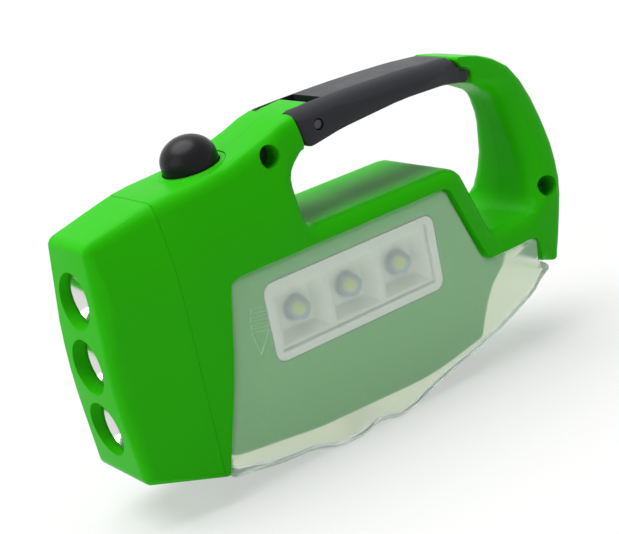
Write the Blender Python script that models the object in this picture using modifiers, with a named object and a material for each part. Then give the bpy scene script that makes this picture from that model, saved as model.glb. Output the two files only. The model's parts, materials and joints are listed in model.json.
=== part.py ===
"""Pocket torch with a spring clip handle, two groups of three lights and a slide-off battery cover.

The lights face -X, the handle loop is at +X, the torch stands on +Z up, and the two halves of
the body meet on the plane Y = 0. Lengths are in metres. Points of outlines are shares of the
overall length and height, and the third figure of a point is its corner radius as a share of
the height.
"""

import math

import bmesh
import bpy
from mathutils import Matrix, Vector

# Overall size
LENGTH = 0.1164
HEIGHT = 0.0684
THICKNESS = 0.0253

# Walls, edges and clearances
WALL = 0.0016
COVER_WALL = 0.0014
EDGE_RADIUS = 0.0026
INNER_EDGE_RADIUS = 0.0009
GAP = 0.0003
OVERRUN = 0.004
FLANK_GRID = 0.006
ARC_LENGTH = 0.005
ARC_STEP = math.radians(20)
EDGE_SEGMENTS = 3
EDGE_ROOM_SHARE = 0.8
EDGE_SLOPE_SHARE = 0.6
ROUND_STEPS = 24
FEW_STEPS = 16
MANY_STEPS = 32
SHARP_ANGLE = math.radians(35)

# The front light group: three windows in the bezel
WINDOW_DIAMETER = 0.0112
WINDOW_PITCH = 0.013
WINDOW_MIDDLE_Z_SHARE = 0.491
WINDOW_DEPTH = 0.0052
LED_DIAMETER = 0.005
LED_FLANGE = 0.0004
LED_FLANGE_HEIGHT = 0.001
LED_LENGTH = 0.0058
REFLECTOR_DEPTH = 0.0052
REFLECTOR_WALL = 0.0007
BOARD_THICKNESS = 0.0012
BEZEL_SEAM_X_SHARE = 0.1435

# The side light group: a framed reflector behind the cover
LAMP_LENGTH = 0.0432
LAMP_WIDTH = 0.0162
LAMP_RIM = 0.0016
LAMP_DEPTH = 0.0034
LAMP_FLANGE = 0.0011
LAMP_FLANGE_THICKNESS = 0.0008
LAMP_CORNER = 0.0022
LAMP_X_SHARE = 0.479
LAMP_Z_SHARE = 0.453
LAMP_REFLECTOR_DEPTH = 0.0036
LAMP_CELL_WALL = 0.0008
LAMP_WELL_FLOOR_SHARE = 0.62

# Three cells side by side in the right half
CELL_DIAMETER = 0.0105
CELL_LENGTH = 0.0445
CELL_PITCH = 0.0107
CELL_NUB_DIAMETER = 0.0038
CELL_NUB_HEIGHT = 0.0009
CELL_BAY_X_SHARE = 0.4765
CELL_BAY_Z_SHARE = 0.370
CELL_COVER_SPACE = 0.0006
BAY_FLOOR = 0.0014
SPRING_LENGTH = 0.0037
SPRING_WIRE = 0.0006
SPRING_TURNS = 3
SPRING_BASE_RADIUS = 0.0037
SPRING_TIP_RADIUS = 0.0022
SPRING_TURN_POINTS = 10
PLATE_THICKNESS = 0.0004
PLATE_WIDTH = 0.0086

# Push button and switch
BUTTON_DIAMETER = 0.0132
BUTTON_RISE = 0.0061
BUTTON_SIDE = 0.0014
BUTTON_FLANGE = 0.0005
BUTTON_FLANGE_HEIGHT = 0.0009
BUTTON_TRAVEL = 0.0015
BUTTON_TILT = math.radians(7)
BUTTON_X_SHARE = 0.272
BUTTON_Z_SHARE = 0.9145
STEM_DIAMETER = 0.0036
STEM_LENGTH = 0.0022
PLUNGER_DIAMETER = 0.003
PLUNGER_LENGTH = 0.0034
SWITCH_WIDTH = 0.0084
SWITCH_HEIGHT = 0.0058
SWITCH_BOARD_LENGTH = 0.018

# Spring gate of the clip handle
PIVOT_X_SHARE = 0.485
PIVOT_Z_SHARE = 0.940
PIN_DIAMETER = 0.0018
TONGUE_HALF_WIDTH = 0.0045
FORK_DEPTH = 0.0044
GATE_INSET = 0.0002
GATE_SPRING_POCKET = 0.0019
GATE_SPRING_RADIUS = 0.00165
GATE_SPRING_PITCH = 0.001
GATE_SPRING_TURNS = 2.5

# Screws that hold the two halves together
SCREW_BORE = 0.0046
SCREW_BORE_FLOOR = 0.0032
SCREW_HEAD_DIAMETER = 0.004
SCREW_HEAD_HEIGHT = 0.0015
SCREW_SHANK_DIAMETER = 0.0019
SCREW_LENGTH = 0.0082
SCREW_SHARES = ((0.374, 0.9035), (0.953, 0.494))

# How the half thickness falls away, as shares of the full half thickness
FRONT_DROP_SHARE = 0.237
FRONT_REACH_SHARES = (0.212, -0.011)
TOP_DROP_SHARE = 0.34
TOP_REACH_SHARES = (0.652, 1.003)
ARCH_DROP_SHARE = 0.447
ARCH_REACH_SHARES = (0.33, 0.827)
ARCH_BLEND_SHARES = (0.728, 0.814)
REAR_DROP_SHARE = 0.095
REAR_REACH_SHARES = (0.9, 1.02)

# Outlines seen from the side, as (length share, height share, corner radius share)
NOSE_SHARES = (
    (0.151, 0.088, 0.012),
    (0.015, 0.152, 0.035),
    (0.000, 0.462, 1.754),
    (0.017, 0.845, 0.032),
    (0.152, 0.899, 0.585),
)
TOP_SHARES = (
    (0.264, 0.911, 0.585),
    (0.367, 0.949, 0.439),
    (0.431, 0.991, 0.205),
    (0.501, 0.999, 0.019),
    (0.506, 0.886, 0.015),
    (0.441, 0.882, 0.029),
)
OPENING_SHARES = (
    (0.404, 0.836, 0.073),
    (0.403, 0.740, 0.175),
    (0.406, 0.681, 0.053),
    (0.743, 0.681, 0.080),
    (0.798, 0.433, 0.023),
    (0.908, 0.434, 0.066),
    (0.928, 0.564, 0.175),
    (0.920, 0.718, 0.205),
    (0.905, 0.816, 0.080),
    (0.843, 0.882, 0.009),
)
ARCH_SHARES = (
    (0.844, 0.931, 0.018),
    (0.825, 0.943, 0.010),
    (0.807, 0.982, 0.009),
    (0.865, 0.959, 0.292),
    (0.936, 0.892, 0.263),
    (0.982, 0.769, 0.351),
    (1.000, 0.608, 0.351),
    (0.989, 0.447, 0.439),
    (0.956, 0.295, 0.205),
    (0.937, 0.253, 0.020),
    (0.910, 0.266, 0.018),
)
UNDER_COVER_SHARES = (
    (0.860, 0.235, 0.020),
    (0.264, 0.130, 0.020),
)
BODY_SHARES = NOSE_SHARES + TOP_SHARES + OPENING_SHARES + ARCH_SHARES + UNDER_COVER_SHARES
NOSE_HOLLOW_SHARES = NOSE_SHARES[1:] + ((0.235, 0.907, 0.0), (0.235, 0.070, 0.0))
CORE_SHARES = (
    (0.152, 0.769, 0.015),
    (0.350, 0.769, 0.015),
    (0.384, 0.649, 0.015),
    (0.693, 0.649, 0.015),
    (0.767, 0.395, 0.015),
    (0.841, 0.389, 0.015),
    (0.832, 0.336, 0.037),
    (0.776, 0.269, 0.205),
    (0.748, 0.175, 0.205),
    (0.734, 0.117, 0.022),
    (0.607, 0.077, 0.877),
    (0.350, 0.091, 0.877),
    (0.152, 0.132, 0.015),
)
COVER_TOP_SHARES = (
    (0.235, 0.627, 0.035),
    (0.704, 0.629, 0.035),
    (0.770, 0.357, 0.053),
    (0.893, 0.357, 0.015),
    (0.897, 0.278, 0.009),
    (0.918, 0.249, 0.015),
)
COVER_BOTTOM_SHARES = (
    (0.882, 0.181, 0.146),
    (0.779, 0.108, 0.877),
    (0.625, 0.047, 0.585),
    (0.545, 0.000, 0.160),
    (0.508, 0.000, 0.080),
    (0.473, 0.021, 0.102),
    (0.436, 0.000, 0.080),
    (0.382, 0.000, 0.100),
    (0.324, 0.033, 0.132),
    (0.247, 0.044, 0.585),
    (0.154, 0.079, 0.018),
    (0.206, 0.389, 0.877),
)
COVER_SHARES = COVER_TOP_SHARES + COVER_BOTTOM_SHARES
COVER_MOUTH_SHARES = (
    (0.090, 0.800, 0.0),
    (0.970, 0.800, 0.0),
    (0.970, 0.280, 0.0),
    (0.860, 0.240, 0.0),
    (0.700, 0.140, 0.0),
    (0.540, 0.095, 0.0),
    (0.090, 0.118, 0.0),
)
CAVITY_SHARES = (
    (0.131, 0.865, 0.012),
    (0.264, 0.882, 0.585),
    (0.343, 0.904, 0.015),
    (0.343, 0.822, 0.022),
    (0.381, 0.810, 0.022),
    (0.382, 0.652, 0.022),
    (0.729, 0.652, 0.044),
    (0.771, 0.477, 0.044),
    (0.765, 0.360, 0.058),
    (0.731, 0.228, 0.146),
    (0.716, 0.146, 0.022),
    (0.607, 0.104, 0.877),
    (0.350, 0.117, 0.877),
    (0.221, 0.143, 0.585),
    (0.131, 0.164, 0.015),
)
GATE_SHARES = (
    (0.440, 0.996, 0.013),
    (0.452, 0.879, 0.036),
    (0.539, 0.899, 0.585),
    (0.693, 0.917, 0.877),
    (0.796, 0.905, 0.585),
    (0.834, 0.890, 0.013),
    (0.838, 0.927, 0.012),
    (0.820, 0.937, 0.012),
    (0.803, 0.984, 0.013),
    (0.693, 0.996, 1.170),
    (0.564, 1.000, 1.170),
)
FORK_ROOM_SHARES = (
    (0.4350, 1.061, 0.0),
    (0.4470, 0.874, 0.0),
    (0.4470, 0.840, 0.0),
    (0.5560, 0.840, 0.0),
    (0.5560, 1.061, 0.0),
)

HALF = THICKNESS / 2
CORE_HALF = HALF - COVER_WALL - GAP

PARTS = "clip_torch"
CUTTERS = "cutters"


def along(share):
    """World X of a place given as a share of the length."""
    return share * LENGTH - LENGTH / 2


def up(share):
    """World Z of a place given as a share of the height."""
    return share * HEIGHT


def ease(value, start, end):
    """Smooth step from 0 at start to 1 at end."""
    t = min(max((value - start) / (end - start), 0), 1)
    return t * t * (3 - 2 * t)


def half_thickness(x, z):
    """Half thickness of the body at a place on its side."""
    length_share = (x + LENGTH / 2) / LENGTH
    height_share = z / HEIGHT
    front = FRONT_DROP_SHARE * ease(length_share, *FRONT_REACH_SHARES)
    top = TOP_DROP_SHARE * ease(height_share, *TOP_REACH_SHARES)
    arch = ARCH_DROP_SHARE * ease(height_share, *ARCH_REACH_SHARES)
    rear = REAR_DROP_SHARE * ease(length_share, *REAR_REACH_SHARES)
    blend = ease(length_share, *ARCH_BLEND_SHARES)
    return HALF * (1 - front - rear - top * (1 - blend) - arch * blend)


def clear_scene():
    for old in list(bpy.data.objects):
        bpy.data.objects.remove(old, do_unlink=True)


def new_collection(name):
    collection = bpy.data.collections.new(name)
    bpy.context.scene.collection.children.link(collection)


def linear(channel):
    """Linear light of a colour channel as it looks on screen, 0 to 255."""
    value = channel / 255
    return value / 12.92 if value <= 0.04045 else ((value + 0.055) / 1.055) ** 2.4


def material(name, colour, roughness, metallic=0.0):
    """Principled material from a colour as it looks on screen."""
    made = bpy.data.materials.new(name)
    made.use_nodes = True
    shader = made.node_tree.nodes["Principled BSDF"]
    shader.inputs["Base Color"].default_value = (*map(linear, colour), 1)
    shader.inputs["Roughness"].default_value = roughness
    shader.inputs["Metallic"].default_value = metallic
    return made


def new_object(name, data, finish=None):
    """Object in the parts collection, or among the cutters when it has no finish."""
    made = bpy.data.objects.new(name, data)
    bpy.data.collections[PARTS if finish else CUTTERS].objects.link(made)
    if finish:
        made.data.materials.append(finish)
    else:
        made.hide_render = True
        made.display_type = "WIRE"
    return made


def mesh_object(name, mesh_builder, finish=None):
    """Object from a bmesh, with its faces pointing out."""
    bmesh.ops.recalc_face_normals(mesh_builder, faces=mesh_builder.faces)
    mesh = bpy.data.meshes.new(name)
    mesh_builder.to_mesh(mesh)
    mesh_builder.free()
    return new_object(name, mesh, finish)


def evaluated_mesh(item):
    bpy.context.view_layer.update()
    graph = bpy.context.evaluated_depsgraph_get()
    return bpy.data.meshes.new_from_object(item.evaluated_get(graph), depsgraph=graph)


def bake(item):
    """Put what the modifiers make into the object's own mesh."""
    mesh = evaluated_mesh(item)
    item.modifiers.clear()
    item.data = mesh
    return item


def combine(item, tool, operation):
    change = item.modifiers.new(operation.title(), "BOOLEAN")
    change.object = tool
    change.operation = operation
    change.solver = "EXACT"


def cut(item, *tools):
    for tool in tools:
        combine(item, tool, "DIFFERENCE")


def copy_of(item, name, finish=None):
    return new_object(name, item.data.copy(), finish)


def corner_arc(before, corner, after, radius):
    """Points that round one corner of an outline."""
    to_before = before - corner
    to_after = after - corner
    turn = math.pi - to_before.angle(to_after)
    reach = radius * math.tan(turn / 2)
    room = min(to_before.length, to_after.length) / 2
    if reach > room:
        radius *= room / reach
        reach = room
    if radius == 0 or reach == 0:
        return [corner]
    start = corner + to_before.normalized() * reach
    middle = (to_before.normalized() + to_after.normalized()).normalized()
    centre = corner + middle * math.hypot(radius, reach)
    steps = max(math.ceil(turn / ARC_STEP), math.ceil(turn * radius / ARC_LENGTH))
    side = 1 if to_before.cross(to_after) < 0 else -1
    spoke = start - centre
    points = []
    for step in range(steps + 1):
        angle = side * turn * step / steps
        points.append(centre + Matrix.Rotation(angle, 2) @ spoke)
    return points


def outline(shares, least=0.0):
    """Closed outline in world X and Z from a table of shares, its corners no sharper than asked."""
    corners = [Vector((along(x), up(z))) for x, z, radius in shares]
    points = []
    for index, corner in enumerate(corners):
        after = corners[(index + 1) % len(corners)]
        radius = max(shares[index][2] * HEIGHT, least)
        points += corner_arc(corners[index - 1], corner, after, radius)
    return points


def inward_normals(points):
    """Direction into the outline at each point, longer at corners, which keeps offset sides parallel."""
    count = len(points)
    area = sum(points[i - 1].cross(points[i]) for i in range(count))
    inside = 1 if area > 0 else -1
    normals = []
    for i in range(count):
        before = (points[i] - points[i - 1]).normalized()
        after = (points[(i + 1) % count] - points[i]).normalized()
        normal = (before + after).normalized()
        normal = Vector((-normal.y, normal.x)) * inside
        normals.append(normal / max(math.sqrt((1 + before.dot(after)) / 2), 1 / 2))
    return normals


def grown(points, distance):
    """Outline moved outwards all round."""
    return [point - normal * distance for point, normal in zip(points, inward_normals(points))]


def edge_radii(points, normals, edge):
    """Edge radius at each point, less where a corner or a narrow place leaves less room."""
    count = len(points)
    radii = []
    for i in range(count):
        room = edge / EDGE_ROOM_SHARE
        for j in range(count):
            across = points[j] - points[i]
            depth = across.dot(normals[i].normalized())
            if j != i and depth > GAP / 10:
                room = min(room, across.length_squared / (2 * depth))
        radii.append(room * EDGE_ROOM_SHARE)
    for _ in range(2):
        for i in list(range(count)) + list(range(count - 1, -1, -1)):
            for j in (i - 1, (i + 1) % count):
                step = (points[j] - points[i]).length
                radii[i] = min(radii[i], radii[j] + step * EDGE_SLOPE_SHARE)
    return radii


def slab(name, points, half, edge=0.0, finish=None):
    """Outline in the XZ plane given a thickness both ways, with rounded edges where asked."""
    normals = inward_normals(points)
    radii = edge_radii(points, normals, edge) if edge else [0] * len(points)
    steps = EDGE_SEGMENTS if edge else 0
    levels = [(-1, step) for step in range(steps, -1, -1)] + [(1, step) for step in range(steps + 1)]
    builder = bmesh.new()
    rings = []
    for side, step in levels:
        angle = math.pi / 2 * step / max(steps, 1)
        ring = []
        for point, normal, radius in zip(points, normals, radii):
            place = point + normal * radius * (1 - math.cos(angle))
            y = side * (half - radius * (1 - math.sin(angle)))
            ring.append(builder.verts.new((place.x, y, place.y)))
        rings.append(ring)
    for lower, upper in zip(rings, rings[1:]):
        for i in range(len(points)):
            builder.faces.new((lower[i - 1], lower[i], upper[i], upper[i - 1]))
    builder.faces.new(rings[0])
    builder.faces.new(rings[-1])
    return mesh_object(name, builder, finish)


def tile(name, middle, size, corner, low, high, finish=None):
    """Rounded rectangle facing Y, between two values of Y."""
    reach_x, reach_z = size[0] / 2, size[1] / 2
    corners = [
        Vector((middle[0] + sign_x * reach_x, middle[1] + sign_z * reach_z))
        for sign_x, sign_z in ((-1, -1), (1, -1), (1, 1), (-1, 1))
    ]
    points = []
    for index, place in enumerate(corners):
        points += corner_arc(corners[index - 1], place, corners[(index + 1) % 4], corner)
    made = slab(name, points, (high - low) / 2, finish=finish)
    made.data.transform(Matrix.Translation((0, (high + low) / 2, 0)))
    return made


def flat_part(items, side):
    """The faces or edges that lie on one of the two flat sides."""
    found = []
    for item in items:
        if all(abs(vertex.co.y - side) < GAP / 10 for vertex in item.verts):
            found.append(item)
    return found


def grid_the_flanks(builder, half):
    """Cross the two flat sides with a grid of edges, so that they can take a crown.

    The grid lies at the same places in every form, which keeps the gap between nested forms even.
    """
    for side in (-half, half):
        bmesh.ops.dissolve_faces(builder, faces=flat_part(builder.faces, side))
        for axis in (Vector((1, 0, 0)), Vector((0, 0, 1))):
            reach = [vertex.co.dot(axis) for vertex in builder.verts]
            first = math.floor(min(reach) / FLANK_GRID) + 1
            last = math.ceil(max(reach) / FLANK_GRID)
            for line in range(first, last):
                bmesh.ops.bisect_plane(
                    builder,
                    geom=flat_part(builder.faces, side) + flat_part(builder.edges, side),
                    dist=GAP / 10,
                    plane_co=axis * line * FLANK_GRID,
                    plane_no=axis,
                )


def form(name, shares, inset=0.0, edge=EDGE_RADIUS, grow=0.0, most=HALF, finish=None):
    """Body shape over an outline: crowned, tapering sides with rounded edges."""
    least = (edge - grow) if grow < 0 else 0
    made = slab(name, grown(outline(shares, least), grow), HALF, edge, finish)
    builder = bmesh.new()
    builder.from_mesh(made.data)
    grid_the_flanks(builder, HALF)
    bmesh.ops.triangulate(builder, faces=builder.faces)
    for vertex in builder.verts:
        half = min(half_thickness(vertex.co.x, vertex.co.z) - inset, most)
        vertex.co.y *= half / HALF
    builder.to_mesh(made.data)
    builder.free()
    return made


def placed(place, direction):
    """Matrix that puts the local origin at a place and the local Z axis along a direction."""
    turn = Vector((0, 0, 1)).rotation_difference(Vector(direction))
    return Matrix.Translation(place) @ turn.to_matrix().to_4x4()


def box(name, low, high, finish=None):
    """Box between two corners."""
    low, high = Vector(low), Vector(high)
    builder = bmesh.new()
    bmesh.ops.create_cube(builder, size=1)
    size = high - low
    bmesh.ops.scale(builder, vec=size, verts=builder.verts)
    bmesh.ops.translate(builder, vec=low + size / 2, verts=builder.verts)
    return mesh_object(name, builder, finish)


def rod(name, start, end, radius, end_radius=None, finish=None, steps=ROUND_STEPS):
    """Cylinder or cone between two points."""
    start, end = Vector(start), Vector(end)
    builder = bmesh.new()
    bmesh.ops.create_cone(
        builder,
        cap_ends=True,
        segments=steps,
        radius1=radius,
        radius2=radius if end_radius is None else end_radius,
        depth=(end - start).length,
    )
    builder.transform(placed((start + end) / 2, end - start))
    return mesh_object(name, builder, finish)


def turned(name, profile, place, direction, finish=None, steps=ROUND_STEPS):
    """Solid of revolution: profile points are (radius, height), from the top down."""
    mesh = bpy.data.meshes.new(name)
    points = [(radius, 0, height) for radius, height in profile]
    mesh.from_pydata(points, [(i, i + 1) for i in range(len(points) - 1)], [])
    made = new_object(name, mesh, finish)
    screw = made.modifiers.new("Screw", "SCREW")
    screw.steps = steps
    screw.render_steps = steps
    screw.use_merge_vertices = True
    screw.merge_threshold = GAP / 100
    made.matrix_world = placed(place, direction)
    return made


def coil(name, middle, direction, radii, length, turns, wire, turn_points, finish):
    """Round wire wound between two radii over a length."""
    curve = bpy.data.curves.new(name, "CURVE")
    curve.dimensions = "3D"
    curve.bevel_depth = wire / 2
    curve.bevel_resolution = 1
    curve.use_fill_caps = True
    count = int(turns * turn_points)
    spline = curve.splines.new("POLY")
    spline.points.add(count)
    for index, point in enumerate(spline.points):
        share = index / count
        radius = radii[0] + (radii[1] - radii[0]) * share
        angle = 2 * math.pi * turns * share
        height = (share - 1 / 2) * (length - wire)
        point.co = (radius * math.cos(angle), radius * math.sin(angle), height, 1)
    guide = new_object(name + "_curve", curve)
    mesh = evaluated_mesh(guide)
    builder = bmesh.new()
    builder.from_mesh(mesh)
    builder.transform(placed(middle, direction))
    bpy.data.objects.remove(guide)
    bmesh.ops.remove_doubles(builder, verts=builder.verts, dist=GAP / 100)
    return mesh_object(name, builder, finish)


def make_led(name, back, direction, finish):
    """Round lamp body: a flange at the back, then a barrel with a domed tip."""
    radius = LED_DIAMETER / 2
    flange = radius + LED_FLANGE
    barrel = LED_LENGTH - radius
    dome_steps = 3
    profile = [(0, LED_LENGTH)]
    for step in range(1, dome_steps + 1):
        angle = math.pi / 2 * step / dome_steps
        profile.append((radius * math.sin(angle), barrel + radius * math.cos(angle)))
    profile += [(radius, LED_FLANGE_HEIGHT), (flange, LED_FLANGE_HEIGHT), (flange, 0), (0, 0)]
    return turned(name, profile, back, direction, finish, steps=FEW_STEPS)


def window_heights():
    """Z of the three front windows, top first."""
    middle = up(WINDOW_MIDDLE_Z_SHARE)
    return [middle + WINDOW_PITCH, middle, middle - WINDOW_PITCH]


def front_board_face():
    """X of the face of the board that the front lamps stand on."""
    return along(0) + WINDOW_DEPTH + GAP + REFLECTOR_DEPTH + GAP + LED_FLANGE_HEIGHT + GAP


def make_bezel(body_form, finish):
    """Front housing: a thick face with three round windows, hollow behind."""
    seam = along(BEZEL_SEAM_X_SHARE)
    front = along(0)
    bezel = copy_of(body_form, "bezel", finish)
    low = (front - OVERRUN, -THICKNESS, -HEIGHT)
    combine(bezel, box("bezel_part", low, (seam, THICKNESS, HEIGHT * 2)), "INTERSECT")
    hollow = form(
        "bezel_hollow", NOSE_HOLLOW_SHARES, inset=WALL, edge=INNER_EDGE_RADIUS, grow=-WALL
    )
    behind = (front + WINDOW_DEPTH, -THICKNESS, -HEIGHT)
    combine(hollow, box("bezel_back", behind, (seam + OVERRUN, THICKNESS, HEIGHT * 2)), "INTERSECT")
    for number, height in enumerate(window_heights(), 1):
        start = (front - OVERRUN, 0, height)
        end = (front + WINDOW_DEPTH + OVERRUN, 0, height)
        cut(bezel, rod(f"window_cut_{number}", start, end, WINDOW_DIAMETER / 2, steps=MANY_STEPS))
    cut(bezel, bake(hollow))


def make_front_lights(reflector_finish, led_finish, board_finish):
    """Reflectors behind the windows, their lamps, and the board that carries them."""
    mouth = along(0) + WINDOW_DEPTH + GAP
    tail = mouth + REFLECTOR_DEPTH
    outer = WINDOW_PITCH / 2 - GAP
    throat = LED_DIAMETER / 2 + GAP
    profile = [
        (WINDOW_DIAMETER / 2, REFLECTOR_DEPTH),
        (outer, REFLECTOR_DEPTH),
        (outer, REFLECTOR_DEPTH - REFLECTOR_WALL * 2),
        (throat + REFLECTOR_WALL, 0),
        (throat, 0),
        (WINDOW_DIAMETER / 2, REFLECTOR_DEPTH),
    ]
    board_front = front_board_face()
    for number, height in enumerate(window_heights(), 1):
        turned(f"front_reflector_{number}", profile, (tail, 0, height), (-1, 0, 0), reflector_finish)
        back = board_front - GAP
        make_led(f"front_led_{number}", (back, 0, height), (-1, 0, 0), led_finish)
    board = form(
        "front_board",
        NOSE_HOLLOW_SHARES,
        inset=WALL + GAP,
        edge=INNER_EDGE_RADIUS,
        grow=-WALL - GAP,
        finish=board_finish,
    )
    low = (board_front, -THICKNESS, -HEIGHT)
    high = (board_front + BOARD_THICKNESS, THICKNESS, HEIGHT * 2)
    combine(board, box("front_board_part", low, high), "INTERSECT")


def button_frame():
    """Place of the button on the top of the body, with its axis as local Z."""
    place = Vector((along(BUTTON_X_SHARE), 0, up(BUTTON_Z_SHARE)))
    return Matrix.Translation(place) @ Matrix.Rotation(-BUTTON_TILT, 4, "Y")


def make_body_form():
    """The body's outer shape, front housing included."""
    return form("body_form", BODY_SHARES)


def make_shells(body_form, finish):
    """Left and right halves of the body, hollowed, with the bores and bays cut in."""
    seam = along(BEZEL_SEAM_X_SHARE)
    body = copy_of(body_form, "body_blank")
    low = (seam + GAP, -THICKNESS, -HEIGHT)
    combine(body, box("body_part", low, (LENGTH, THICKNESS, HEIGHT * 2)), "INTERSECT")
    cut(body, slab("cover_room", grown(outline(COVER_SHARES), GAP), THICKNESS))
    core = form("core", CORE_SHARES, inset=COVER_WALL + GAP, edge=INNER_EDGE_RADIUS)
    core_low = (seam + GAP, -THICKNESS, -HEIGHT)
    combine(core, box("core_part", core_low, (LENGTH, THICKNESS, HEIGHT * 2)), "INTERSECT")
    combine(body, bake(core), "UNION")
    for side, sign in (("near", -1), ("far", 1)):
        room = slab(f"fork_room_{side}", outline(FORK_ROOM_SHARES), HALF)
        room.location.y = sign * (TONGUE_HALF_WIDTH + HALF)
        cut(body, room)
    pivot = Vector((along(PIVOT_X_SHARE), 0, up(PIVOT_Z_SHARE)))
    across = Vector((0, THICKNESS, 0))
    cut(body, rod("pin_hole", pivot - across, pivot + across, PIN_DIAMETER / 2 + GAP, steps=FEW_STEPS))
    pocket_low = pivot - Vector((WALL * 2, GATE_SPRING_POCKET, OVERRUN * 2))
    pocket_high = pivot + Vector((OVERRUN, GATE_SPRING_POCKET, WALL * 2 - PIN_DIAMETER / 2))
    cut(body, box("spring_pocket", pocket_low, pocket_high))
    frame = button_frame()
    top = frame @ Vector((0, 0, BUTTON_RISE))
    bottom = frame @ Vector((0, 0, -WALL * 3))
    cut(body, rod("button_hole", bottom, top, BUTTON_DIAMETER / 2 + GAP, steps=MANY_STEPS))
    bake(body)

    most = CORE_HALF - WALL
    cavity = form("cavity", CAVITY_SHARES, inset=WALL, edge=INNER_EDGE_RADIUS, most=most)
    left = copy_of(body, "left_shell", finish)
    right = copy_of(body, "right_shell", finish)
    for shell, sign in ((left, -1), (right, 1)):
        edges = sorted((sign * GAP / 2, sign * THICKNESS))
        half = box(
            f"{shell.name}_half", (-LENGTH, edges[0], -HEIGHT), (LENGTH, edges[1], HEIGHT * 2)
        )
        combine(shell, half, "INTERSECT")
    cut(left, cavity)
    for number, (x_share, z_share) in enumerate(SCREW_SHARES, 1):
        x, z = along(x_share), up(z_share)
        floor = (x, -SCREW_BORE_FLOOR, z)
        cut(left, rod(f"screw_bore_{number}", (x, -THICKNESS, z), floor, SCREW_BORE / 2))
        hole = SCREW_SHANK_DIAMETER / 2 + GAP
        tip = (x, SCREW_LENGTH - SCREW_BORE_FLOOR, z)
        screw_hole = rod(f"screw_hole_{number}", (x, -HALF / 2, z), tip, hole, steps=FEW_STEPS)
        cut(left, screw_hole)
        cut(right, screw_hole)
    cut_lamp_opening(left)
    cut_right_half(right, cavity)
    return left, right


def cut_lamp_opening(left):
    """Opening in the left half for the side lamp's frame."""
    middle = (along(LAMP_X_SHARE), up(LAMP_Z_SHARE))
    size = (LAMP_LENGTH + GAP * 2, LAMP_WIDTH + GAP * 2)
    cut(left, tile("lamp_opening", middle, size, LAMP_CORNER + GAP, -HALF, -CORE_HALF / 2))


def cut_right_half(right, cavity):
    """Switch space and battery bay in the right half."""
    x, z = along(CELL_BAY_X_SHARE), up(CELL_BAY_Z_SHARE)
    axis_y = CORE_HALF - CELL_COVER_SPACE - CELL_DIAMETER / 2
    radius = CELL_DIAMETER / 2 + GAP
    half_bay = bay_length() / 2
    space = copy_of(cavity, "switch_space")
    block_low = (x - half_bay - WALL, -THICKNESS, -HEIGHT)
    block_high = (LENGTH, THICKNESS, z + CELL_PITCH + radius + WALL)
    cut(space, box("bay_block", block_low, block_high))
    cut(right, bake(space))
    floor_y = axis_y - radius - BAY_FLOOR
    reach = CELL_PITCH + radius - CELL_DIAMETER / 4
    back_low = (x - half_bay + WALL, floor_y, z - reach)
    back_high = (x + half_bay - WALL, axis_y / 2, z + reach)
    combine(right, box("bay_back", back_low, back_high), "UNION")
    for row in (-1, 0, 1):
        height = z + row * CELL_PITCH
        start, end = (x - half_bay, axis_y, height), (x + half_bay, axis_y, height)
        cut(right, rod(f"trough_{row + 2}", start, end, radius))
    reach = CELL_PITCH + radius - GAP / 2
    mouth_low = (x - half_bay, axis_y, z - reach)
    cut(right, box("bay_mouth", mouth_low, (x + half_bay, THICKNESS, z + reach)))
    slot = PLATE_THICKNESS + GAP * 2
    plate_low = axis_y - PLATE_WIDTH / 2 + GAP
    for end, sign in (("front", -1), ("rear", 1)):
        edges = sorted((x + sign * half_bay, x + sign * (half_bay - slot)))
        low = (edges[0], plate_low - GAP, z - reach)
        cut(right, box(f"plate_slot_{end}", low, (edges[1], THICKNESS, z + reach)))


def bay_length():
    """Inside length of the battery bay: cell, spring, two plates and their gaps."""
    return CELL_LENGTH + SPRING_LENGTH + PLATE_THICKNESS * 2 + GAP * 6


def make_cells(cell_finish, spring_finish, plate_finish):
    """Three cells, the middle one turned round, with their springs and contact plates."""
    x, z = along(CELL_BAY_X_SHARE), up(CELL_BAY_Z_SHARE)
    axis_y = CORE_HALF - CELL_COVER_SPACE - CELL_DIAMETER / 2
    radius = CELL_DIAMETER / 2
    nub = CELL_NUB_DIAMETER / 2
    can = CELL_LENGTH - CELL_NUB_HEIGHT
    edge = CELL_NUB_HEIGHT / 2
    profile = [
        (0, CELL_LENGTH),
        (nub, CELL_LENGTH),
        (nub, can),
        (radius - edge, can),
        (radius, can - edge),
        (radius, edge),
        (radius - edge, 0),
        (0, 0),
    ]
    half_bay = bay_length() / 2
    for row in (1, 0, -1):
        number = 2 - row
        height = z + row * CELL_PITCH
        sign = -1 if row else 1
        plate_face = half_bay - GAP - PLATE_THICKNESS
        spring_middle = x + sign * (plate_face - GAP - SPRING_LENGTH / 2)
        cell_back = x + sign * (plate_face - GAP * 2 - SPRING_LENGTH)
        way = (-sign, 0, 0)
        turned(f"battery_{number}", profile, (cell_back, axis_y, height), way, cell_finish)
        coil(
            f"battery_spring_{number}",
            (spring_middle, axis_y, height),
            way,
            (SPRING_BASE_RADIUS, SPRING_TIP_RADIUS),
            SPRING_LENGTH,
            SPRING_TURNS,
            SPRING_WIRE,
            SPRING_TURN_POINTS,
            spring_finish,
        )
    reach = PLATE_WIDTH / 2
    spans = {
        "front": ((1, 1), (0, -1)),
        "rear": ((1, 0), (-1, -1)),
    }
    for end, sign in (("front", -1), ("rear", 1)):
        outer = x + sign * (half_bay - GAP)
        edges = sorted((outer, outer - sign * PLATE_THICKNESS))
        for kind, rows in zip(("upper", "lower"), spans[end]):
            low = (edges[0], axis_y - reach + GAP, z + rows[1] * CELL_PITCH - reach)
            high = (edges[1], axis_y + reach, z + rows[0] * CELL_PITCH + reach)
            box(f"contact_{end}_{kind}", low, high, plate_finish)


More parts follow.
